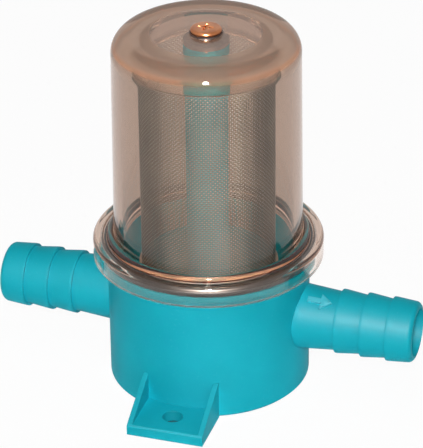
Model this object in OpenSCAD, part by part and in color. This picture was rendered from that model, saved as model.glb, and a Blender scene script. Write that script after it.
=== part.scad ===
// Inline water filter with a clear dome over a woven strainer, all sizes in millimetres.
// Z is up, the underside of the body and its feet is z = 0, and the outlet tail points along +X.

/* [Body] */
// Outer radius of the cup
body_r = 32.5; // [30:0.5:38]
// Thickness of the cup's wall
body_wall = 3.9; // [3:0.1:4.5]
// Thickness of the cup's floor
body_floor = 4; // [3.5:0.5:6]
// Height of the ledge that carries the dome's seal
ledge_z = 45.5; // [44:0.5:56]
// How far the lip inside the seal steps in from the cup's outside
lip_step = 1.2; // [0.8:0.1:1.6]
// Height of the rim below the ledge
rim_h = 1.9; // [1.5:0.1:3]
// Bevel round the underside
foot_bevel = 0.8; // [0.4:0.1:1.5]

/* [Hose tails] */
// Height of the tails' common axis
tail_z = 24; // [22:0.5:25]
// Distance from the cup's axis to each tail's tip
tail_reach = 69.5; // [66:0.5:90]
// Diameter of the water way
tail_bore = 15.5; // [10:0.5:16]
// Diameter over the barbs' crests
barb_d = 20.8; // [20:0.2:22]
// Diameter of the neck where it meets the cup
neck_d = 21; // [20:0.2:22]
// Depth of the step behind each barb
barb_depth = 0.9; // [0.5:0.1:1.2]
// Number of barbs on a tail
barb_count = 3; // [2:1:3]
// Distance between barbs
barb_pitch = 8.4; // [7:0.2:9]
// Width of the flat on each crest
barb_land = 0.8; // [0.4:0.1:1.5]
// Length from the last barb's shoulder to the tip
tip_length = 8.6; // [7:0.2:10]
// Taper of the last barb, measured on the radius
tip_taper = 0.5; // [0.2:0.1:0.8]
// Rounding of the tip's outer edge
tip_round = 1.8; // [0.8:0.1:2]

/* [Feet] */
// How far a foot reaches out from the cup's wall
foot_reach = 15.3; // [13.5:0.1:27.5]
// Width of a foot
foot_w = 25; // [20:0.5:30]
// Thickness of a foot's plate
foot_t = 3.6; // [2.5:0.1:4]
// Thickness of a foot's side gussets
gusset_t = 1.7; // [1.2:0.1:2.5]
// Height of the gussets where they meet the cup
gusset_h = 13; // [8:0.5:20]
// Diameter of the screw hole in a foot
foot_hole = 6.5; // [4:0.5:8]
// Distance from the cup's wall to a foot's screw hole
foot_hole_reach = 6.7; // [6:0.1:9.5]
// Bevel along a foot's upper front edge
foot_edge = 0.5; // [0.2:0.1:1]

/* [Strainer] */
// Outer radius of the mesh tube
mesh_r = 21.5; // [20:0.5:23]
// Thickness of the woven mesh
mesh_t = 0.5; // [0.4:0.1:1]
// Gap between the top of the mesh and the dome's roof
mesh_top_gap = 4.5; // [4:0.5:8]
// Height of the seat that the strainer stands on
seat_z = 36; // [35:0.5:38]
// Height of the spigot inside the foot of the mesh
spigot_h = 6; // [4:0.5:8]
// Thickness of the spigot's wall
spigot_wall = 2.6; // [2:0.1:4]
// Thickness of the ring at the foot of the mesh
ring_t = 0.8; // [0.5:0.1:1]
// Height of that ring
ring_h = 5; // [3:0.5:8]
// Gap round the spigot and round the dome's locating rib
mesh_fit = 0.4; // [0.3:0.1:0.8]

/* [Dome] */
// Height of the dome above its flange
dome_h = 70; // [60:1:90]
// How far the dome's outside is inset from the cup's outside
dome_inset = 2.2; // [1.6:0.1:3]
// How much the dome's radius shrinks towards the roof
dome_draft = 0.7; // [0.3:0.1:1.2]
// Thickness of the dome's wall
dome_wall = 2.8; // [2:0.1:3]
// Thickness of the dome's roof
roof_t = 5; // [4:0.1:6]
// Rounding outside, between the wall and the roof
dome_round = 6.3; // [5:0.1:8]
// Rounding inside, between the wall and the roof
dome_inner_round = 4; // [2:0.1:4.5]
// Thickness of the flange
flange_t = 1.8; // [1.5:0.1:3]
// Thickness of the skirt round the body's rim
skirt_t = 2.3; // [1.8:0.1:3]
// How far the skirt hangs below the rim
skirt_drop = 0.6; // [0.3:0.1:2]
// Rounding of the flange's outer edge
flange_round = 1.4; // [0.6:0.1:1.6]
// Radius of the bead at the root of the wall
bead_r = 1.3; // [0.8:0.1:1.5]
// Radius of the groove outside that bead
groove_r = 0.7; // [0.4:0.1:0.9]
// Thickness of the rib under the roof that centres the mesh
rib_t = 3.2; // [2:0.1:4]
// How far that rib reaches into the mesh
rib_reach = 2; // [1:0.5:6]

/* [Seals] */
// Thickness of the O-ring's cord
seal_d = 3; // [2.6:0.1:3.6]
// How far the tightened dome squeezes the O-ring
seal_squeeze = 0.3; // [0.2:0.05:0.4]
// Gap beside the O-ring
seal_side = 0.1; // [0.05:0.05:0.2]
// Gap between the O-ring and the skirt
skirt_fit = 0.3; // [0.2:0.05:0.6]
// Gap between the lip and the tightened dome
lip_gap = 0.2; // [0.1:0.05:0.4]
// Outer diameter of the seal on the post
post_seal_d = 14.4; // [12:0.2:16]
// Thickness of the seal on the post
post_seal_t = 1.4; // [1:0.1:4]

/* [Post and screw] */
// Diameter of the centre post
post_d = 13.5; // [13:0.5:16]
// How far the post's head stands out round its top
post_head_step = 0.45; // [0.2:0.05:1.5]
// Height of that head
post_head_h = 3.2; // [2:0.2:6]
// Bevel round the head's top
post_bevel = 0.6; // [0.3:0.1:1]
// Wall of the boss that holds the post's foot
boss_wall = 2.7; // [2:0.1:4]
// Height of that boss above the floor
boss_h = 8; // [5:0.5:10]
// Depth of the post's socket below the floor
socket_depth = 1; // [0.5:0.1:2]
// Gap round the post in its socket
post_fit = 0.05; // [0.02:0.01:0.1]
// Diameter of the cover screw's thread
screw_d = 5; // [4:0.5:6]
// Length of the cover screw under its head
screw_length = 20; // [18:1:30]
// Diameter of the screw's head
head_d = 10; // [9:0.2:12]
// Height of the screw's head
head_h = 1.4; // [1.2:0.1:3]
// Rounding of the head's upper edge
head_round = 1; // [0.5:0.1:1.2]
// Length of the cross recess
recess_length = 5; // [4:0.2:6]
// Width of the recess's arms
recess_w = 1.1; // [0.8:0.1:1.5]
// Depth of the cross recess
recess_depth = 0.9; // [0.6:0.1:1.1]
// Diameter of the washer under the head
washer_d = 10.4; // [9.6:0.2:14]
// Thickness of that washer
washer_t = 0.5; // [0.4:0.1:2]
// Gap round the screw in the dome, the washer and the seal
screw_gap = 0.25; // [0.2:0.05:0.5]
// Running gap round the screw in its thread insert
thread_fit = 0.05; // [0.02:0.01:0.1]
// Length of the thread insert
insert_length = 10; // [6:0.5:12]
// Wall of the thread insert
insert_wall = 1; // [0.8:0.1:1.5]
// How far the insert lies below the post's top
insert_sink = 0.2; // [0.1:0.1:0.5]
// Width and depth of the insert's two grooves
insert_groove = 0.5; // [0.3:0.1:0.7]
// Room below the screw's tip
tip_room = 2; // [1:0.5:6]
// Gap left in pressed and welded joints
press_gap = 0.05; // [0.02:0.01:0.1]

/* [Hidden] */
$fn = 96;
past = 1;

// Cup, lip and seal
cup_r = body_r - body_wall;
lip_r = body_r - lip_step;
seal_r = lip_r + seal_side + seal_d / 2;
rim_r = lip_r + seal_d;
seal_h = seal_d - seal_squeeze;
lip_top = ledge_z + seal_h - lip_gap;
rim_under = ledge_z - rim_h;

// Dome
flange_under = ledge_z + seal_h;
flange_top = flange_under + flange_t;
skirt_r = seal_r + seal_d / 2 + skirt_fit;
flange_r = skirt_r + skirt_t;
skirt_under = rim_under - skirt_drop;
dome_r = body_r - dome_inset;
dome_top_r = dome_r - dome_draft;
roof_z = flange_top + dome_h;
roof_under = roof_z - roof_t;
moulding_share = 0.8;
bead_at = dome_r + bead_r * moulding_share;
groove_at = bead_at + bead_r + groove_r * moulding_share;

// Strainer and its seat
mesh_in = mesh_r - mesh_t;
mesh_top = roof_under - mesh_top_gap;
spigot_r = mesh_in - mesh_fit;
well_r = spigot_r - spigot_wall;
ring_r = mesh_r + press_gap + ring_t;
seat_r = ring_r + mesh_fit;
rib_r = mesh_in - mesh_fit;
rib_under = mesh_top - rib_reach;

// Post, insert, screw and seals
post_r = post_d / 2;
post_top = roof_under - post_seal_t;
post_head_r = post_r + post_head_step;
post_head_under = post_top - post_head_h;
socket_z = body_floor - socket_depth;
boss_r = post_r + post_fit + boss_wall;
screw_r = screw_d / 2;
insert_bore = screw_r + thread_fit;
insert_r = insert_bore + insert_wall;
insert_top = post_top - insert_sink;
head_z = roof_z + washer_t;
screw_tip = head_z - screw_length;

// Hose tails
crest_r = barb_d / 2;
valley_r = crest_r - barb_depth;
last_barb = tail_reach - tip_length;
first_barb = last_barb - (barb_count - 1) * barb_pitch;
tail_root = 0.3;

// Feet
foot_front = body_r + foot_reach;
foot_hole_y = body_r + foot_hole_reach;

body_colour = [0.05, 0.66, 0.74];

// Rounding for the outer upper corner of a section
module quarter_disc(r) {
  intersection() {
    circle(r);
    square(r);
  }
}

// A ring of one section, from r_in to r_out and from z0 to z1
module turned_ring(r_in, r_out, z0, z1) {
  rotate_extrude()
    translate([r_in, z0])
      square([r_out - r_in, z1 - z0]);
}

// The hole in a wall of the body that takes the root of a tail, along +X
module tail_port() {
  translate([boss_r, 0, tail_z])
    rotate([0, 90, 0])
      cylinder(d = neck_d + 2 * press_gap, h = body_r + past - boss_r);
}

// Wall of the cup with its rim and lip, and a port for each tail
module cup() {
  color(body_colour)
    difference() {
      rotate_extrude()
        polygon([
          [cup_r, 0],
          [body_r - foot_bevel, 0],
          [body_r, foot_bevel],
          [body_r, rim_under],
          [rim_r, rim_under],
          [rim_r, ledge_z],
          [lip_r, ledge_z],
          [lip_r, lip_top],
          [cup_r, lip_top]
        ]);
      tail_port();
      rotate([0, 0, 180])
        tail_port();
    }
}

// Floor of the cup, with the boss and the socket that hold the post's foot
module cup_floor() {
  color(body_colour)
    rotate_extrude()
      polygon([
        [0, 0],
        [cup_r - press_gap, 0],
        [cup_r - press_gap, body_floor],
        [boss_r, body_floor],
        [boss_r, body_floor + boss_h],
        [post_r + post_fit, body_floor + boss_h],
        [post_r + post_fit, socket_z],
        [0, socket_z]
      ]);
}

// Inner wall that carries the strainer and shuts it off from the cup, with a port for the outlet
module strainer_well() {
  color(body_colour)
    difference() {
      rotate_extrude()
        polygon([
          [well_r, body_floor],
          [seat_r, body_floor],
          [seat_r, seat_z],
          [spigot_r, seat_z],
          [spigot_r, seat_z + spigot_h],
          [well_r, seat_z + spigot_h]
        ]);
      tail_port();
    }
}

// One tail along +X, from the distance start to its tip: a tapered neck, then sawtooth barbs
module tail(start) {
  barbs = [
    for (i = [0 : barb_count - 1])
      let (shoulder = first_barb + i * barb_pitch)
        each [[valley_r, shoulder], [crest_r, shoulder], [crest_r, shoulder + barb_land]]
  ];
  tip_r = crest_r - tip_taper;
  translate([0, 0, tail_z])
    rotate([0, 90, 0])
      rotate_extrude()
        difference() {
          union() {
            polygon(concat(
              [[0, start], [neck_d / 2, start], [neck_d / 2, body_r]],
              barbs,
              [[tip_r, tail_reach - tip_round], [tip_r - tip_round, tail_reach], [0, tail_reach]]
            ));
            translate([tip_r - tip_round, tail_reach - tip_round])
              quarter_disc(tip_round);
          }
          translate([-past, start - past])
            square([past + tail_bore / 2, tail_reach - start + 2 * past]);
        }
}

module inlet_tail() {
  color(body_colour)
    rotate([0, 0, 180])
      tail(cup_r + tail_root);
}

// The outlet's root crosses the cup to the strainer's well
module outlet_tail() {
  color(body_colour)
    tail(well_r + tail_root);
}

// A slab of the given width across X, whose side view is drawn as distance to the front and height
module slab(width, side_view) {
  rotate([90, 0, -90])
    translate([0, 0, -width / 2])
      linear_extrude(width)
        polygon(side_view);
}

// One foot: a plate with a screw hole between two triangular gussets, shaped to the cup's wall
module foot() {
  wall_y = sqrt(pow(body_r, 2) - pow(foot_w / 2, 2));
  root = wall_y - past;
  slope = (gusset_h - foot_t) / (foot_front - wall_y);
  front = [[root, 0], [foot_front, 0], [foot_front, foot_t - foot_edge], [foot_front - foot_edge, foot_t]];
  difference() {
    union() {
      slab(foot_w, concat(front, [[root, foot_t]]));
      for (side = [-1, 1])
        translate([side * (foot_w - gusset_t) / 2, 0, 0])
          slab(gusset_t, concat(front, [[root, foot_t + slope * (foot_front - root)]]));
    }
    translate([0, -foot_hole_y, -past])
      cylinder(d = foot_hole, h = foot_t + 2 * past);
    translate([0, 0, -past])
      cylinder(r = body_r + press_gap, h = ledge_z);
  }
}

module front_foot() {
  color(body_colour)
    foot();
}

module back_foot() {
  color(body_colour)
    rotate([0, 0, 180])
      foot();
}

// Post with a wider head under the seal, bored for the insert and the screw
module centre_post() {
  color(body_colour)
    rotate_extrude()
      polygon([
        [0, socket_z],
        [post_r, socket_z],
        [post_r, post_head_under - post_head_step],
        [post_head_r, post_head_under],
        [post_head_r, post_top - post_bevel],
        [post_head_r - post_bevel, post_top],
        [insert_r + press_gap, post_top],
        [insert_r + press_gap, insert_top - insert_length],
        [screw_r + screw_gap, insert_top - insert_length],
        [screw_r + screw_gap, screw_tip - tip_room],
        [0, screw_tip - tip_room]
      ]);
}

// Brass sleeve with two grooves that key it into the post
module thread_insert() {
  foot_z = insert_top - insert_length;
  color([0.78, 0.6, 0.28])
    rotate_extrude()
      difference() {
        translate([insert_bore, foot_z])
          square([insert_wall, insert_length]);
        for (share = [1 / 3, 2 / 3])
          translate([insert_r - insert_groove, foot_z + share * insert_length - insert_groove / 2])
            square([insert_groove + past, insert_groove]);
      }
}

// Outline of the clear cover without its hollow
module dome_outside() {
  polygon([
    [0, flange_under],
    [dome_r, flange_under],
    [dome_r, flange_top],
    [dome_top_r, roof_z - dome_round],
    [dome_top_r - dome_round, roof_z],
    [0, roof_z]
  ]);
  translate([dome_top_r - dome_round, roof_z - dome_round])
    circle(dome_round);
  translate([bead_at, flange_top])
    circle(bead_r);
  flange_section();
}

// Flange and skirt, with a rounded outer edge and a groove outside the bead
module flange_section() {
  difference() {
    union() {
      translate([0, flange_under])
        square([flange_r - flange_round, flange_t]);
      translate([skirt_r, skirt_under])
        square([skirt_t, flange_top - flange_round - skirt_under]);
      translate([flange_r - flange_round, flange_top - flange_round])
        quarter_disc(flange_round);
    }
    translate([groove_at, flange_top])
      circle(groove_r);
  }
}

// Hollow of the clear cover, which leaves the rib that centres the mesh
module dome_hollow() {
  hollow_r = dome_r - dome_wall;
  hollow_top_r = dome_top_r - dome_wall;
  difference() {
    union() {
      polygon([
        [0, flange_under - past],
        [hollow_r, flange_under - past],
        [hollow_r, flange_under],
        [hollow_top_r, roof_under - dome_inner_round],
        [hollow_top_r - dome_inner_round, roof_under],
        [0, roof_under]
      ]);
      translate([hollow_top_r - dome_inner_round, roof_under - dome_inner_round])
        quarter_disc(dome_inner_round);
    }
    translate([rib_r - rib_t, rib_under])
      square([rib_t, roof_under + past - rib_under]);
  }
}

module dome() {
  color([0.76, 0.64, 0.57, 0.4])
    rotate_extrude()
      difference() {
        dome_outside();
        dome_hollow();
        translate([-past, roof_under - past])
          square([past + screw_r + screw_gap, roof_t + 2 * past]);
      }
}

// O-ring squeezed flat between the ledge and the flange
module dome_seal() {
  color([0.12, 0.1, 0.09])
    rotate_extrude()
      translate([seal_r, ledge_z + seal_h / 2])
        intersection() {
          circle(d = seal_d);
          square([seal_d + past, seal_h], center = true);
        }
}

module post_seal() {
  color([0.42, 0.43, 0.42])
    turned_ring(screw_r + screw_gap, post_seal_d / 2, post_top, roof_under);
}

module strainer_mesh() {
  color([0.62, 0.6, 0.57])
    turned_ring(mesh_in, mesh_r, seat_z + ring_t, mesh_top);
}

// Angle ring: a floor under the mesh and a wall round its foot
module strainer_ring() {
  color([0.7, 0.7, 0.7])
    rotate_extrude()
      polygon([
        [mesh_in, seat_z],
        [ring_r, seat_z],
        [ring_r, seat_z + ring_h],
        [mesh_r + press_gap, seat_z + ring_h],
        [mesh_r + press_gap, seat_z + ring_t],
        [mesh_in, seat_z + ring_t]
      ]);
}

module screw_washer() {
  color([0.2, 0.13, 0.1])
    turned_ring(screw_r + screw_gap, washer_d / 2, roof_z, head_z);
}

// Pan-head screw with a cross recess and a bevelled tip
module cover_screw() {
  head_r = head_d / 2;
  tip_bevel = screw_r / 3;
  color([0.8, 0.45, 0.25])
    difference() {
      rotate_extrude()
        union() {
          polygon([
            [0, screw_tip],
            [screw_r - tip_bevel, screw_tip],
            [screw_r, screw_tip + tip_bevel],
            [screw_r, head_z],
            [head_r, head_z],
            [head_r, head_z + head_h - head_round],
            [head_r - head_round, head_z + head_h],
            [0, head_z + head_h]
          ]);
          translate([head_r - head_round, head_z + head_h - head_round])
            quarter_disc(head_round);
        }
      for (turn = [0, 90])
        rotate([0, 0, turn])
          translate([-recess_length / 2, -recess_w / 2, head_z + head_h - recess_depth])
            cube([recess_length, recess_w, recess_depth + past]);
    }
}

cup();
cup_floor();
strainer_well();
inlet_tail();
outlet_tail();
front_foot();
back_foot();
centre_post();
thread_insert();
dome();
dome_seal();
post_seal();
strainer_mesh();
strainer_ring();
screw_washer();
cover_screw();
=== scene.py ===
import bmesh
import bpy
import numpy as np
from mathutils import Matrix


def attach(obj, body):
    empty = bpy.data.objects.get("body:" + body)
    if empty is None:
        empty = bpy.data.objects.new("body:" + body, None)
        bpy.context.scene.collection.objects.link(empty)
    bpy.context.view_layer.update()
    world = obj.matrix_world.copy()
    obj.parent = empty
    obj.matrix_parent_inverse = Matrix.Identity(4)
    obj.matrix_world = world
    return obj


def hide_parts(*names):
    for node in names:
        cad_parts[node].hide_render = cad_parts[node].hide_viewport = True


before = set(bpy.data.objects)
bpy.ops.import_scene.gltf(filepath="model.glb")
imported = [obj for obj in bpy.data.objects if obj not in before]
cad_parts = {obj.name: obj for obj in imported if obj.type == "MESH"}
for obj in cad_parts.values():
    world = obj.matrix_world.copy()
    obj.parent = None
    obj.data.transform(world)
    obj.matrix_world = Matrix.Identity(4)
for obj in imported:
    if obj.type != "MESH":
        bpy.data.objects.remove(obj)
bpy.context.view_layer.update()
mm = 0.001
print("frame:", len(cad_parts), "solids")


# meshes from number grids

def gridPiece(name, points, closedAlong=False, closedAcross=True, capped=False):
    # points[k, i, j] is point j across, at step i along, of strand k; neighbours make four-sided faces
    strands, along, across = points.shape[:3]
    index = np.arange(strands * along * across).reshape(strands, along, across)
    if closedAlong:
        index = np.concatenate([index, index[:, :1]], axis=1)
    if closedAcross:
        index = np.concatenate([index, index[:, :, :1]], axis=2)
    faces = np.stack([index[:, :-1, :-1], index[:, 1:, :-1], index[:, 1:, 1:], index[:, :-1, 1:]], axis=-1)
    faces = faces.reshape(-1, 4)
    if capped:
        faces = np.concatenate([faces, index[:, 0, :4], index[:, -1, 3::-1]])
    mesh = bpy.data.meshes.new(name)
    mesh.from_pydata(points.reshape(-1, 3), [], faces)
    weld = bmesh.new()
    weld.from_mesh(mesh)
    bmesh.ops.remove_doubles(weld, verts=weld.verts, dist=1e-7)
    weld.to_mesh(mesh)
    weld.free()
    mesh.polygons.foreach_set("use_smooth", np.ones(len(mesh.polygons), bool))
    piece = bpy.data.objects.new(name, mesh)
    bpy.context.scene.collection.objects.link(piece)
    return piece


def turned(profile, steps):
    # a profile of radius and height carried once round the Z axis
    angle = np.arange(steps) * 2 * np.pi / steps
    radius, height = profile[:, :1], profile[:, 1:]
    return np.stack([radius * np.cos(angle), radius * np.sin(angle), height + 0 * angle], axis=-1)[None]


def softCorners(corners, steps):
    # corners of radius, height and rounding; each rounding is the arc that touches both sides, by blending
    # the two touching points about the arc's centre
    place, rounding = corners[:, :2], np.maximum(corners[:, 2:], 1e-7)
    back = np.roll(place, 1, axis=0) - place
    ahead = np.roll(place, -1, axis=0) - place
    back /= np.linalg.norm(back, axis=1, keepdims=True)
    ahead /= np.linalg.norm(ahead, axis=1, keepdims=True)
    half = np.arccos(np.clip((back * ahead).sum(1, keepdims=True), -1, 1)) / 2
    middle = back + ahead
    middle /= np.linalg.norm(middle, axis=1, keepdims=True)
    centre = place + middle * rounding / np.sin(half)
    first = place + back * rounding / np.tan(half) - centre
    last = place + ahead * rounding / np.tan(half) - centre
    sweep = np.pi - 2 * half
    share = np.linspace(0, 1, steps)[None, :, None]
    sweep = sweep[:, :, None]
    arc = np.sin((1 - share) * sweep) * first[:, None] + np.sin(share * sweep) * last[:, None]
    rounded = (centre[:, None] + arc / np.sin(sweep)).reshape(-1, 2)
    apart = np.linalg.norm(rounded - np.roll(rounded, 1, axis=0), axis=1) > 2e-6
    return rounded[apart]


def pinned(profile, long=2 * mm, inset=0.08 * mm):
    # every long straight stretch gets a point close to each end, so that its shading stays flat
    step = np.roll(profile, -1, axis=0) - profile
    length = np.linalg.norm(step, axis=1, keepdims=True)
    share = inset / length
    near, far = profile + step * share, profile + step * (1 - share)
    rows = np.stack([profile, near, profile + step / 2, far], axis=1)
    keep = np.concatenate([length > 0, length > long, length > long, length > long], axis=1)
    return rows[keep]


# shader sums

class Sock:
    def __init__(self, paint, socket):
        self.paint, self.socket = paint, socket

    def sum(self, operation, first, second):
        return self.paint.add("Math", {"operation": operation}, {0: first, 1: second})

    def __add__(self, other): return self.sum("ADD", self, other)
    def __radd__(self, other): return self.sum("ADD", other, self)
    def __sub__(self, other): return self.sum("SUBTRACT", self, other)
    def __rsub__(self, other): return self.sum("SUBTRACT", other, self)
    def __mul__(self, other): return self.sum("MULTIPLY", self, other)
    def __rmul__(self, other): return self.sum("MULTIPLY", other, self)
    def power(self, other): return self.sum("POWER", self, other)
    def least(self, other): return self.sum("MINIMUM", self, other)
    def under(self, other): return self.sum("LESS_THAN", self, other)


class Paint:
    def __init__(self, name, tree=None):
        self.material = None if tree else bpy.data.materials.new(name)
        if self.material:
            self.material.use_nodes = True
        self.tree = tree or self.material.node_tree
        self.tree.nodes.clear()

    def add(self, kind, settings=None, sockets=None, out=0):
        node = self.tree.nodes.new("ShaderNode" + kind)
        for key, value in (settings or {}).items():
            setattr(node, key, value)
        for key, value in (sockets or {}).items():
            if isinstance(value, Sock):
                self.tree.links.new(value.socket, node.inputs[key])
            else:
                node.inputs[key].default_value = value
        return Sock(self, node.outputs[out])

    def place(self):
        return self.add("TexCoord", out=3)

    def noise(self, scale, detail=3, roughness=0.5):
        return self.add("TexNoise", None, {"Vector": self.place(), "Scale": scale, "Detail": detail,
                                           "Roughness": roughness})

    def between(self, share, first, second):
        return self.add("Mix", {"data_type": "RGBA"}, {0: share, 6: first, 7: second}, out=2)

    def spread(self, value, low, high):
        # low to high becomes 0 to 1
        return self.add("MapRange", None, {0: value, 1: low, 2: high})

    def bump(self, height, depth, normal=None):
        sockets = {"Height": height, "Distance": depth, "Strength": 1}
        if normal:
            sockets["Normal"] = normal
        return self.add("Bump", None, sockets)

    def seen(self):
        # 1 for what the camera sees itself, in a reflection or through clear plastic,
        # and 0 for light on a dull face
        rays = ("Is Camera Ray", "Is Glossy Ray", "Is Transmission Ray", "Diffuse Depth")
        camera, glossy, through, dull = [self.add("LightPath", out=ray) for ray in rays]
        return (camera + glossy + through).least(1) * (1 - dull.least(1))

    def surface(self, shader, inside=None):
        end = self.tree.nodes.new("ShaderNodeOutputMaterial")
        self.tree.links.new(shader.socket, end.inputs["Surface"])
        if inside:
            self.tree.links.new(inside.socket, end.inputs["Volume"])
        return self.material


def dress(pieceName, material):
    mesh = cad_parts[pieceName].data
    mesh.materials.clear()
    mesh.materials.append(material)


# finishes

turquoise = {"deep": (0.001, 0.365, 0.455, 1), "pale": (0.006, 0.43, 0.53, 1),
             # post colours: painted light, the body's turquoise made lighter and bluer
             "postLitDeep": (0.0, 0.57, 0.74, 1), "postLitPale": (0.01, 0.63, 0.8, 1),
             # arrow colours: a painted highlight, paler than the body's turquoise
             "arrowHighlightDeep": (0.05, 0.47, 0.57, 1), "arrowHighlightPale": (0.09, 0.54, 0.64, 1),
             "fleck": (0.05, 0.5, 0.58, 1), "fleckShare": 0.25, "cloudScale": 38, "fleckScale": 1400,
             "grainScale": 2600, "grainDepth": 0.012 * mm, "gloss": 0.46, "shine": 0.055, "edge": 0.35 * mm}


def mouldedPlastic(name, deep, pale):
    t = turquoise
    paint = Paint(name)
    cloud = paint.noise(t["cloudScale"], 4)
    fleck = paint.noise(t["fleckScale"], 2)
    grain = paint.noise(t["grainScale"], 2, 0.6)
    colour = paint.between(paint.spread(cloud, 0.3, 0.7), deep, pale)
    colour = paint.between(paint.spread(fleck, 0.62, 0.8) * t["fleckShare"], colour, t["fleck"])
    edge = paint.add("Bevel", {"samples": 6}, {"Radius": t["edge"]})
    shader = paint.add("BsdfPrincipled", None, {
        "Base Color": colour,
        "Roughness": t["gloss"] + cloud * 0.08 + grain * 0.06,
        "Specular IOR Level": t["shine"],
        "Normal": paint.bump(grain, t["grainDepth"], edge)})
    return paint.surface(shader)


# the warm colour is a painted reflection, laid on bands of the dome's shoulder and bead
clear = {"outside": (0.4, 0.32, 0.268, 1), "inside": (0.99, 0.98, 0.97, 1), "shade": (0.99, 0.98, 0.97, 1),
         "warmReflection": (0.85, 0.28, 0.09, 1), "index": 1.45, "depth": (0.9, 0.5, 0.25, 1), "density": 50,
         "rippleScale": 55, "rippleDepth": 0.02 * mm, "milky": (0.46, 0.3, 0.21, 1), "hazeMiddle": 0.16,
         "hazeRing": 0.34, "hazeFrom": 17.4 * mm, "hazeSoft": 0.2 * mm, "hazeUnder": 112 * mm,
         "hazeFull": 117 * mm}


def clearPlastic():
    c = clear
    paint = Paint("clearPlastic")
    ripple = paint.noise(c["rippleScale"], 2)
    outside = paint.add("Attribute", {"attribute_name": "outside"}, out=2)
    paintedReflection = paint.add("Attribute", {"attribute_name": "paintedReflection"}, out=2)
    tint = paint.between(outside, c["inside"], c["outside"])
    # the warm colour mixed in on the shoulder and bead bands is a painted reflection
    shader = paint.add("BsdfPrincipled", None, {
        "Base Color": paint.between(paintedReflection, tint, c["warmReflection"]),
        "Roughness": 0.0,
        "IOR": c["index"],
        "Transmission Weight": 1,
        "Normal": paint.bump(ripple, c["rippleDepth"])})
    # the thick roof is a little milky, and more so outside its rib
    x, y, z = [paint.add("SeparateXYZ", None, {0: paint.place()}, out=k) for k in range(3)]
    radius = (x * x + y * y).power(0.5)
    ring = paint.spread(radius, c["hazeFrom"], c["hazeFrom"] + c["hazeSoft"])
    high = paint.spread(z, c["hazeUnder"], c["hazeFull"])
    haze = outside * (c["hazeMiddle"] + ring * c["hazeRing"]) * high
    milky = paint.add("BsdfDiffuse", None, {"Color": c["milky"]})
    shader = paint.add("MixShader", None, {0: haze, 1: shader, 2: milky})
    ray = paint.add("LightPath", out="Is Shadow Ray")
    through = paint.add("BsdfTransparent", None, {"Color": c["shade"]})
    inside = paint.add("VolumeAbsorption", None, {"Color": c["depth"], "Density": c["density"]})
    return paint.surface(paint.add("MixShader", None, {0: ray, 1: shader, 2: through}), inside)


steel = {"deep": (0.44, 0.42, 0.4, 1), "pale": (0.62, 0.6, 0.57, 1), "streakScale": 160, "streakStretch": 14,
         "streakDepth": 0.01 * mm, "gloss": 0.25}


def rolledSteel():
    paint = Paint("rolledSteel")
    stretch = paint.add("Mapping", None, {0: paint.place(), "Scale": (1, 1, steel["streakStretch"])})
    streak = paint.add("TexNoise", None, {"Vector": stretch, "Scale": steel["streakScale"], "Detail": 3})
    shader = paint.add("BsdfPrincipled", None, {
        "Base Color": paint.between(streak, steel["deep"], steel["pale"]),
        "Roughness": steel["gloss"] + streak * 0.2,
        "Metallic": 1,
        "Normal": paint.bump(streak, steel["streakDepth"])})
    return paint.surface(shader)


rubbers = {"bloomScale": 120, "grainScale": 1800, "grainDepth": 0.01 * mm,
           "seal": ((0.01, 0.008, 0.007, 1), (0.03, 0.025, 0.022, 1), 0.3),
           "postSeal": ((0.3, 0.29, 0.28, 1), (0.4, 0.39, 0.38, 1), 0.4),
           "washer": ((0.03, 0.012, 0.008, 1), (0.07, 0.03, 0.02, 1), 0.4)}


def rubber(name, dark, light, gloss):
    paint = Paint(name)
    bloom = paint.noise(rubbers["bloomScale"], 4)
    grain = paint.noise(rubbers["grainScale"], 2)
    shader = paint.add("BsdfPrincipled", None, {
        "Base Color": paint.between(paint.spread(bloom, 0.3, 0.75), dark, light),
        "Roughness": gloss + bloom * 0.12,
        "Normal": paint.bump(grain, rubbers["grainDepth"])})
    return paint.surface(shader)


metals = {"cloudScale": 240, "scratchScale": 700, "scratchStretch": 9, "scratchDepth": 0.008 * mm,
          "screw": ((0.33, 0.115, 0.045, 1), (0.46, 0.19, 0.085, 1), 0.14),
          "insert": ((0.6, 0.4, 0.13, 1), (0.74, 0.54, 0.24, 1), 0.2)}


def turnedMetal(name, deep, pale, gloss):
    paint = Paint(name)
    cloud = paint.noise(metals["cloudScale"], 4)
    stretch = paint.add("Mapping", None, {0: paint.place(), "Scale": (1, 1, metals["scratchStretch"])})
    scratch = paint.add("TexNoise", None, {"Vector": stretch, "Scale": metals["scratchScale"], "Detail": 2})
    shader = paint.add("BsdfPrincipled", None, {
        "Base Color": paint.between(paint.spread(cloud, 0.3, 0.7), deep, pale),
        "Roughness": gloss + cloud * 0.1 + scratch * 0.06,
        "Metallic": 1,
        "Normal": paint.bump(scratch, metals["scratchDepth"])})
    return paint.surface(shader)


bodyFinish = mouldedPlastic("turquoisePlastic", turquoise["deep"], turquoise["pale"])
# the post is the body's plastic painted lighter, as painted light against the shade of the strainer and the
# dome
postFinish = mouldedPlastic("postPaintedLightPlastic", turquoise["postLitDeep"], turquoise["postLitPale"])
# the arrow is painted a paler turquoise, as a painted highlight on the raised arrow
arrowFinish = mouldedPlastic("arrowPlastic", turquoise["arrowHighlightDeep"], turquoise["arrowHighlightPale"])
domeFinish = clearPlastic()
screwFinish = turnedMetal("screwBronze", *metals["screw"])
for moulding in ("cup", "cup_floor", "strainer_well", "inlet_tail", "outlet_tail", "front_foot", "back_foot"):
    dress(moulding, bodyFinish)
dress("centre_post", postFinish)
dress("thread_insert", turnedMetal("insertBrass", *metals["insert"]))
dress("dome_seal", rubber("sealRubber", *rubbers["seal"]))
dress("post_seal", rubber("postSealRubber", *rubbers["postSeal"]))
dress("strainer_ring", rolledSteel())
dress("screw_washer", rubber("washerFibre", *rubbers["washer"]))
print("finishes made")


# clear dome

# the warm shoulder and bead bands mark where a painted reflection is laid
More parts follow.
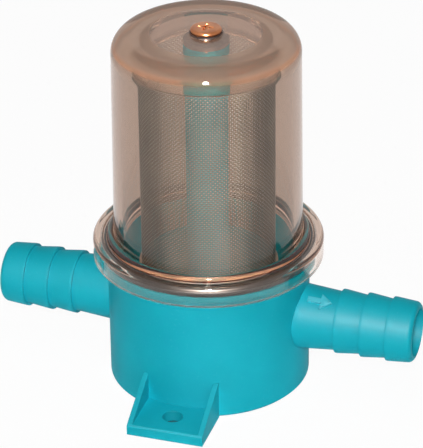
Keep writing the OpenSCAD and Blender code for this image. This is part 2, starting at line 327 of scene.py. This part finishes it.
dome = {"roof": 120, "roofUnder": 115, "hole": 2.75, "topRadius": 29.6, "footRadius": 30.3, "shoulder": 6.3,
        "wall": 2.8, "innerShoulder": 4, "flangeTop": 50, "flangeUnder": 48.2, "flangeRadius": 37,
        "flangeRound": 1.4, "skirtInside": 34.7, "skirtUnder": 43, "ribOutside": 20.6, "ribInside": 17.4,
        "ribUnder": 108.5, "bead": 1.3, "beadAt": 31.34, "beadArc": (142, -15, 14), "groove": 0.7,
        "grooveAt": 33.2, "grooveArc": (210, 360, 10), "edge": 0.3, "root": 0.05, "roundSteps": 14,
        "turnSteps": 224, "sharp": 35, "roofSkin": 117.5, "flangeSkin": 48.6, "wallSkin": 28.2,
        "skirtSkin": 36, "skirtShade": 0.25, "warmShoulder": (115.9, 117.3), "warmShoulderFrom": 27.6,
        "warmBead": (49.8, 51.2), "warmBeadAt": (30.6, 33), "beadWarmth": 0.75}


def arc(centre, height, radius, start, end, steps):
    angle = np.radians(np.linspace(start, end, steps))
    return np.stack([centre + radius * np.cos(angle), height + radius * np.sin(angle), 0 * angle], axis=-1)


def within(values, low, high):
    return (values > low) & (values < high)


def makeDome():
    # the section's corners are rounded, and it is carried once round the axis
    d = dome
    corners = np.concatenate([
        np.array([(d["hole"], d["roofUnder"], d["edge"]), (d["hole"], d["roof"], d["edge"]),
                  (d["topRadius"], d["roof"], d["shoulder"])]),
        arc(d["beadAt"], d["flangeTop"], d["bead"], *d["beadArc"]),
        arc(d["grooveAt"], d["flangeTop"], d["groove"], *d["grooveArc"]),
        np.array([(d["flangeRadius"], d["flangeTop"], d["flangeRound"]),
                  (d["flangeRadius"], d["skirtUnder"], d["edge"]),
                  (d["skirtInside"], d["skirtUnder"], d["edge"]),
                  (d["skirtInside"], d["flangeUnder"], d["edge"]),
                  (d["footRadius"] - d["wall"], d["flangeUnder"], d["edge"]),
                  (d["topRadius"] - d["wall"], d["roofUnder"], d["innerShoulder"]),
                  (d["ribOutside"], d["roofUnder"], d["root"]), (d["ribOutside"], d["ribUnder"], d["edge"]),
                  (d["ribInside"], d["ribUnder"], d["edge"]), (d["ribInside"], d["roofUnder"], d["root"])])])
    profile = pinned(softCorners(corners * mm, d["roundSteps"]))
    piece = gridPiece("clearDome", turned(profile, d["turnSteps"]), closedAlong=True)
    piece.data.set_sharp_from_angle(angle=np.radians(d["sharp"]))
    place = np.empty(len(piece.data.vertices) * 3)
    piece.data.vertices.foreach_get("co", place)
    radius, height = np.hypot(place[0::3], place[1::3]) / mm, place[2::3] / mm
    # the outside is tinted, and bands of the shoulder and the bead get a warm painted reflection
    outer = (height > d["roofSkin"]) | (height > d["flangeSkin"]) & (radius > d["wallSkin"])
    outer = np.maximum(outer, d["skirtShade"] * (radius > d["skirtSkin"]))
    shoulder = within(height, *d["warmShoulder"]) & (radius > d["warmShoulderFrom"])
    bead = within(height, *d["warmBead"]) & within(radius, *d["warmBeadAt"])
    paintedReflection = np.maximum(shoulder, d["beadWarmth"] * bead)
    for name, values in (("outside", outer), ("paintedReflection", paintedReflection)):
        piece.data.attributes.new(name, "FLOAT", "POINT").data.foreach_set("value", values)
    piece.data.materials.append(domeFinish)
    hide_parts("dome")
    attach(piece, "dome")
    return piece


clearDome = makeDome()
print("dome:", len(clearDome.data.polygons), "faces")


# woven strainer

# the dull colours are painted shade, and the bright crown colour is a painted glint
weave = {"radius": 21.25, "foot": 36.95, "top": 110.35, "pitch": 0.68, "uprightHalf": 0.085, "hoopHalf": 0.14,
         "halfThickness": 0.1, "swing": 0.215, "fine": 2, "groups": 2, "cap": 0.1, "glintFrom": 0.17,
         "glintFull": 0.24, "dull": (0.16, 0.16, 0.14, 1), "dullPale": (0.24, 0.24, 0.21, 1),
         "paintedGlint": (0.84, 0.92, 0.98, 1), "tarnishScale": 90, "gloss": 0.28}


def steelWire():
    # painted shade: the wire is dull in the hollows of the weave; painted glint: it is bright where a wire
    # stands proud of it on either side
    paint = Paint("steelWire")
    tarnish = paint.noise(weave["tarnishScale"], 3)
    x, y = [paint.add("SeparateXYZ", None, {0: paint.place()}, out=k) for k in range(2)]
    proud = (x * x + y * y).power(0.5) - weave["radius"] * mm
    paintedGlint = paint.spread(proud * proud, weave["glintFrom"] ** 2 * mm ** 2, weave["glintFull"] ** 2 * mm ** 2)
    dull = paint.between(paint.spread(tarnish, 0.3, 0.7), weave["dull"], weave["dullPale"])
    shader = paint.add("BsdfPrincipled", None, {
        "Base Color": paint.between(paintedGlint, dull, weave["paintedGlint"]),
        "Roughness": weave["gloss"] + tarnish * 0.06,
        "Metallic": 1})
    return paint.surface(shader)


wireFinish = steelWire()


def makeWires(name, angle, height, out, half, closed):
    # angle, height and out place each wire's middle line about the tube's axis, one row for each wire
    angle, height, out = np.broadcast_arrays(angle, height, out)
    outward = np.stack([np.cos(angle), np.sin(angle), 0 * angle], axis=-1)
    centre = out[..., None] * outward + height[..., None] * np.array([0, 0, 1])
    run = np.roll(centre, -1, axis=1) - np.roll(centre, 1, axis=1) if closed else np.gradient(centre, axis=1)
    across = np.cross(run, outward)
    across /= np.linalg.norm(across, axis=-1, keepdims=True)
    face = np.cross(across, run)
    face /= np.linalg.norm(face, axis=-1, keepdims=True)
    turn = np.radians([0, 90, 180, 270])[:, None]
    section = half * np.cos(turn) * across[:, :, None] \
        + weave["halfThickness"] * np.sin(turn) * face[:, :, None]
    piece = gridPiece(name, (centre[:, :, None] + section) * mm, closedAlong=closed, capped=not closed)
    piece.data.materials.append(wireFinish)
    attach(piece, "strainer")
    return piece


def makeWeave():
    # straight uprights, and hoops that swing in and out by a cosine, outside one upright and inside the next
    w = weave
    count = 2 * round(np.pi * w["radius"] / w["pitch"])
    gap = 2 * np.pi / count
    ends = np.array([[w["foot"], w["foot"] + w["cap"], w["top"] - w["cap"], w["top"]]])
    angle = np.arange(count)[:, None] * gap
    pieces = [makeWires("meshUprights", angle, ends, w["radius"], w["uprightHalf"], False)]
    hoops = np.arange(int((w["top"] - w["foot"]) / w["pitch"]))[:, None]
    step = np.arange(count * w["fine"])[None] / w["fine"]
    for k, some in enumerate(np.array_split(hoops, w["groups"])):
        name = f"meshHoops{k + 1}"
        height = w["foot"] + some * w["pitch"]
        out = w["radius"] + w["swing"] * np.cos(np.pi * (step + some))
        pieces.append(makeWires(name, step * gap, height, out, w["hoopHalf"], True))
    return pieces


wovenTube = makeWeave()
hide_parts("strainer_mesh")
print("weave:", sum(len(piece.data.polygons) for piece in wovenTube), "faces")


# cover screw

screw = {"seat": 120.5, "headRadius": 5, "headHeight": 1.4, "headRound": 1, "crown": 0.12, "tip": 100.5,
         "thread": 2.5, "core": 2.08, "pitch": 0.8, "recessLength": 5, "recessWidth": 1.1, "recessDepth": 1,
         "recessRise": 0.55, "recessWall": 0.2, "recessLead": 0.06, "underEdge": 0.15, "plain": 0.4,
         "point": 0.8, "pointInset": 0.3, "threadGain": 1.3, "threadFlat": 0.15, "threadFrom": 0.6,
         "threadFade": 0.8, "climb": 0.05, "crownSteps": 70, "bendSteps": 16, "turnSteps": 160, "sharp": 50}


def makeScrew():
    # a profile from the crown to the tip, carried once round the axis
    s = screw
    top = s["seat"] + s["headHeight"]
    flat = s["headRadius"] - s["headRound"]
    inner = np.linspace(0, flat, s["crownSteps"])
    crown = np.stack([inner, top - s["crown"] * (inner / flat) ** 2], axis=-1)
    bend = np.linspace(np.pi / 2, 0, s["bendSteps"])[1:]
    side = np.stack([flat + s["headRound"] * np.cos(bend),
                     top - s["headRound"] + (s["headRound"] - s["crown"]) * np.sin(bend)], axis=-1)
    under = np.array([(s["headRadius"], s["seat"] + s["underEdge"]),
                      (s["headRadius"] - s["underEdge"], s["seat"]), (s["thread"], s["seat"])])
    climb = np.arange(s["seat"] - s["plain"], s["tip"] + s["point"], -s["climb"])
    shank = np.stack([0 * climb + s["thread"], climb], axis=-1)
    end = np.array([(s["core"] - s["pointInset"], s["tip"]), (0, s["tip"])])
    profile = np.concatenate([crown, side, under, shank, end])
    points = turned(profile, s["turnSteps"])
    x, y, z = points[..., 0], points[..., 1], points[..., 2]
    # the cross recess sinks where either arm covers the point, by a smooth step at its walls
    armX = np.minimum(s["recessWidth"] / 2 - abs(y), s["recessLength"] / 2 - abs(x))
    armY = np.minimum(s["recessWidth"] / 2 - abs(x), s["recessLength"] / 2 - abs(y))
    step = np.clip((np.maximum(armX, armY) + s["recessLead"]) / s["recessWall"], 0, 1)
    reach = np.clip(np.hypot(x, y) / (s["recessLength"] / 2), 0, 1)
    sunk = step * step * (3 - 2 * step) * s["recessDepth"] * (1 - s["recessRise"] * reach)
    z[:, :len(inner)] -= sunk[:, :len(inner)]
    # the thread is a ramp up and down of the radius, along height less one pitch for each turn
    threaded = slice(len(profile) - len(climb) - 2, len(profile) - 2)
    turn = np.arange(s["turnSteps"]) / s["turnSteps"]
    wave = abs((climb[:, None] / s["pitch"] - turn[None]) % 1 - 0.5) * 2
    depth = np.clip(wave * s["threadGain"] - s["threadFlat"], 0, 1)
    fade = np.clip((s["seat"] - s["threadFrom"] - climb[:, None]) / s["threadFade"], 0, 1)
    shrink = 1 - depth * fade * (1 - s["core"] / s["thread"])
    x[0, threaded] *= shrink
    y[0, threaded] *= shrink
    piece = gridPiece("bronzeScrew", points * mm)
    piece.data.materials.append(screwFinish)
    piece.data.set_sharp_from_angle(angle=np.radians(s["sharp"]))
    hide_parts("cover_screw")
    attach(piece, "screw")
    return piece


bronzeScrew = makeScrew()
print("screw:", len(bronzeScrew.data.polygons), "faces")


# flow arrow moulded on the outlet's neck

arrow = {"start": 34.6, "length": 7.8, "shaft": 0.85, "head": 2.6, "headLength": 3.6, "height": 0.8,
         "bevel": 0.15, "sunk": 0.3, "rings": (0, 1.06, 1.0, 0.9, 0), "middle": 0.1, "edgeSteps": 8,
         "turn": 118, "sharp": 35, "axisHeight": 24, "neckStart": 32.5, "neckEnd": 44.1, "neckWide": 10.5,
         "neckSlim": 9.5}


def makeArrow():
    # an outline drawn flat is wrapped round the tapered neck in rings, from the middle of its underside
    # by the foot and the top of its wall to the middle of its bevelled top
    a = arrow
    tail, tip, barb = 0, a["length"], a["length"] - a["headLength"]
    corner = np.array([(tail, a["shaft"]), (barb, a["shaft"]), (barb, a["head"]), (tip, 0),
                       (barb, -a["head"]), (barb, -a["shaft"]), (tail, -a["shaft"])])
    share = np.arange(a["edgeSteps"])[None, :, None] / a["edgeSteps"]
    outline = (corner[:, None] * (1 - share) + np.roll(corner, -1, axis=0)[:, None] * share).reshape(-1, 2)
    middle = np.array([[barb + a["middle"], 0]])
    shrink = np.array(a["rings"])[:, None, None]
    flat = middle + (outline - middle) * shrink
    lift = np.array([-a["sunk"], -a["sunk"], a["height"] - a["bevel"], a["height"], a["height"]])[:, None]
    along = a["start"] + flat[..., 0]
    taper = (along - a["neckStart"]) / (a["neckEnd"] - a["neckStart"])
    radius = a["neckWide"] + (a["neckSlim"] - a["neckWide"]) * taper
    angle = np.radians(a["turn"]) - flat[..., 1] / radius
    radius = radius + lift
    across, height = radius * np.cos(angle), a["axisHeight"] + radius * np.sin(angle)
    piece = gridPiece("flowArrow", np.stack([along, across, height], axis=-1)[None] * mm)
    piece.data.materials.append(arrowFinish)
    piece.data.set_sharp_from_angle(angle=np.radians(a["sharp"]))
    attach(piece, "base")
    return piece


flowArrow = makeArrow()
print("arrow made")


# floor, light and camera

# the dark colour under the feet is a painted shadow
stage = {"floor": (0.9, 0.9, 0.9, 1), "paintedShadowUnderFeet": (0.03, 0.16, 0.19, 1), "lift": 0.95, "sky": 0.2,
         "coveredX": 12.3 * mm, "coveredY": 47.5 * mm, "half": 6, "drop": 0.2 * mm, "bounces": 24}


def makeStage():
    side = np.linspace(-stage["half"], stage["half"], 5)
    far, wide = np.meshgrid(side, side, indexing="ij")
    points = np.stack([far, wide, 0 * far - stage["drop"]], axis=-1)[None]
    floor = gridPiece("paleFloor", points, closedAcross=False)
    paint = Paint("paleFloorFinish")
    bare = paint.add("BsdfDiffuse", None, {"Color": stage["floor"]})
    dark = paint.add("BsdfDiffuse", None, {"Color": stage["paintedShadowUnderFeet"]})
    glow = paint.add("Emission", None, {"Color": (1, 1, 1, 1), "Strength": 1})
    # the floor under the feet is painted a dark shadow, as seen through their holes
    x, y = [paint.add("SeparateXYZ", None, {0: paint.place()}, out=k) for k in range(2)]
    covered = (x * x).under(stage["coveredX"] ** 2) * (y * y).under(stage["coveredY"] ** 2)
    lift = paint.seen() * stage["lift"] * (1 - covered)
    bare = paint.add("MixShader", None, {0: covered, 1: bare, 2: dark})
    floor.data.materials.append(paint.surface(paint.add("MixShader", None, {0: lift, 1: bare, 2: glow})))
    world = bpy.data.worlds.new("studio")
    bpy.context.scene.world = world
    world.use_nodes = True
    sky = Paint("studio", world.node_tree)
    strength = stage["sky"] + sky.seen() * (1 - stage["sky"])
    light = sky.add("Background", None, {"Color": (1, 1, 1, 1), "Strength": strength})
    end = world.node_tree.nodes.new("ShaderNodeOutputWorld")
    world.node_tree.links.new(light.socket, end.inputs["Surface"])


def lookFrom(place, aim):
    back = np.array(place, float) - np.array(aim, float)
    back /= np.linalg.norm(back)
    right = np.cross((0, 0, 1), back)
    right /= np.linalg.norm(right)
    up = np.cross(back, right)
    axes = np.eye(4)
    axes[:3, 0], axes[:3, 1], axes[:3, 2], axes[:3, 3] = right, up, back, place
    return Matrix(axes.tolist())


# the flash stands just over the camera, and the boxes at their own places, in metres
lights = {"aim": (0, 0, 0.06), "flashLeft": 0.01, "flashAbove": 0.06, "flashSize": (0.08, 0.08),
          "flashWatts": 5.3, "gleamAbove": 0.07, "gleamSize": (0.08, 0.16), "gleamWatts": 80,
          "boxes": {"leftBox": ((-0.75, -0.45, 0.55), (0.5, 0.9), 0.15),
                    "rightBox": ((0.8, -0.2, 0.5), (0.35, 0.8), 0.15),
                    "topBox": ((0, -0.15, 1.0), (0.6, 0.6), 1.3)}}


def lamp(name, place, size, watts, diffuse=True):
    data = bpy.data.lights.new(name, "AREA")
    data.shape, data.size, data.size_y = "RECTANGLE", size[0], size[1]
    data.energy = watts
    light = bpy.data.objects.new(name, data)
    light.matrix_world = lookFrom(place, lights["aim"])
    light.visible_transmission = False
    light.visible_diffuse = diffuse
    bpy.context.scene.collection.objects.link(light)


def makeLamps(eye, right, up):
    # the gleam shows in reflections alone, and lights no dull face
    k = lights
    flash = eye + up * k["flashAbove"] - right * k["flashLeft"]
    gleam = eye + up * k["gleamAbove"] - right * k["flashLeft"]
    lamp("flash", flash, k["flashSize"], k["flashWatts"])
    lamp("flashGleam", gleam, k["gleamSize"], k["gleamWatts"], diffuse=False)
    for name, (place, size, watts) in k["boxes"].items():
        lamp(name, place, size, watts)


view = {"distance": 899.12, "elevation": 28.96, "azimuth": 17.8, "roll": -0.67, "focal": 2730.75, "wide": 423,
        "right": 1.01, "up": 45.95, "sensor": 36, "near": 0.01, "far": 20}


def makeCamera():
    # the place and turn that carry the object's outlines to where the photograph shows them
    rise, turn, roll = np.radians([view["elevation"], view["azimuth"], view["roll"]])
    back = np.array([np.sin(turn) * np.cos(rise), -np.cos(turn) * np.cos(rise), np.sin(rise)])
    right = np.array([np.cos(turn), np.sin(turn), 0])
    up = np.cross(back, right)
    place = (back * view["distance"] + right * view["right"] + up * view["up"]) * mm
    axes = np.eye(4)
    axes[:3, 0] = right * np.cos(roll) + up * np.sin(roll)
    axes[:3, 1] = up * np.cos(roll) - right * np.sin(roll)
    axes[:3, 2], axes[:3, 3] = back, place
    data = bpy.data.cameras.new("photoCamera")
    data.sensor_fit, data.sensor_width = "HORIZONTAL", view["sensor"]
    data.lens = view["focal"] / view["wide"] * data.sensor_width
    data.clip_start, data.clip_end = view["near"], view["far"]
    camera = bpy.data.objects.new("photoCamera", data)
    camera.matrix_world = Matrix(axes.tolist())
    bpy.context.scene.collection.objects.link(camera)
    bpy.context.scene.camera = camera
    return place, right, up


makeStage()
makeLamps(*makeCamera())
bpy.context.scene.view_settings.view_transform = "Standard"
bpy.context.scene.cycles.blur_glossy = 0
for bounces in ("max_bounces", "transmission_bounces", "glossy_bounces"):
    setattr(bpy.context.scene.cycles, bounces, stage["bounces"])
print("stage, lamps and camera placed")
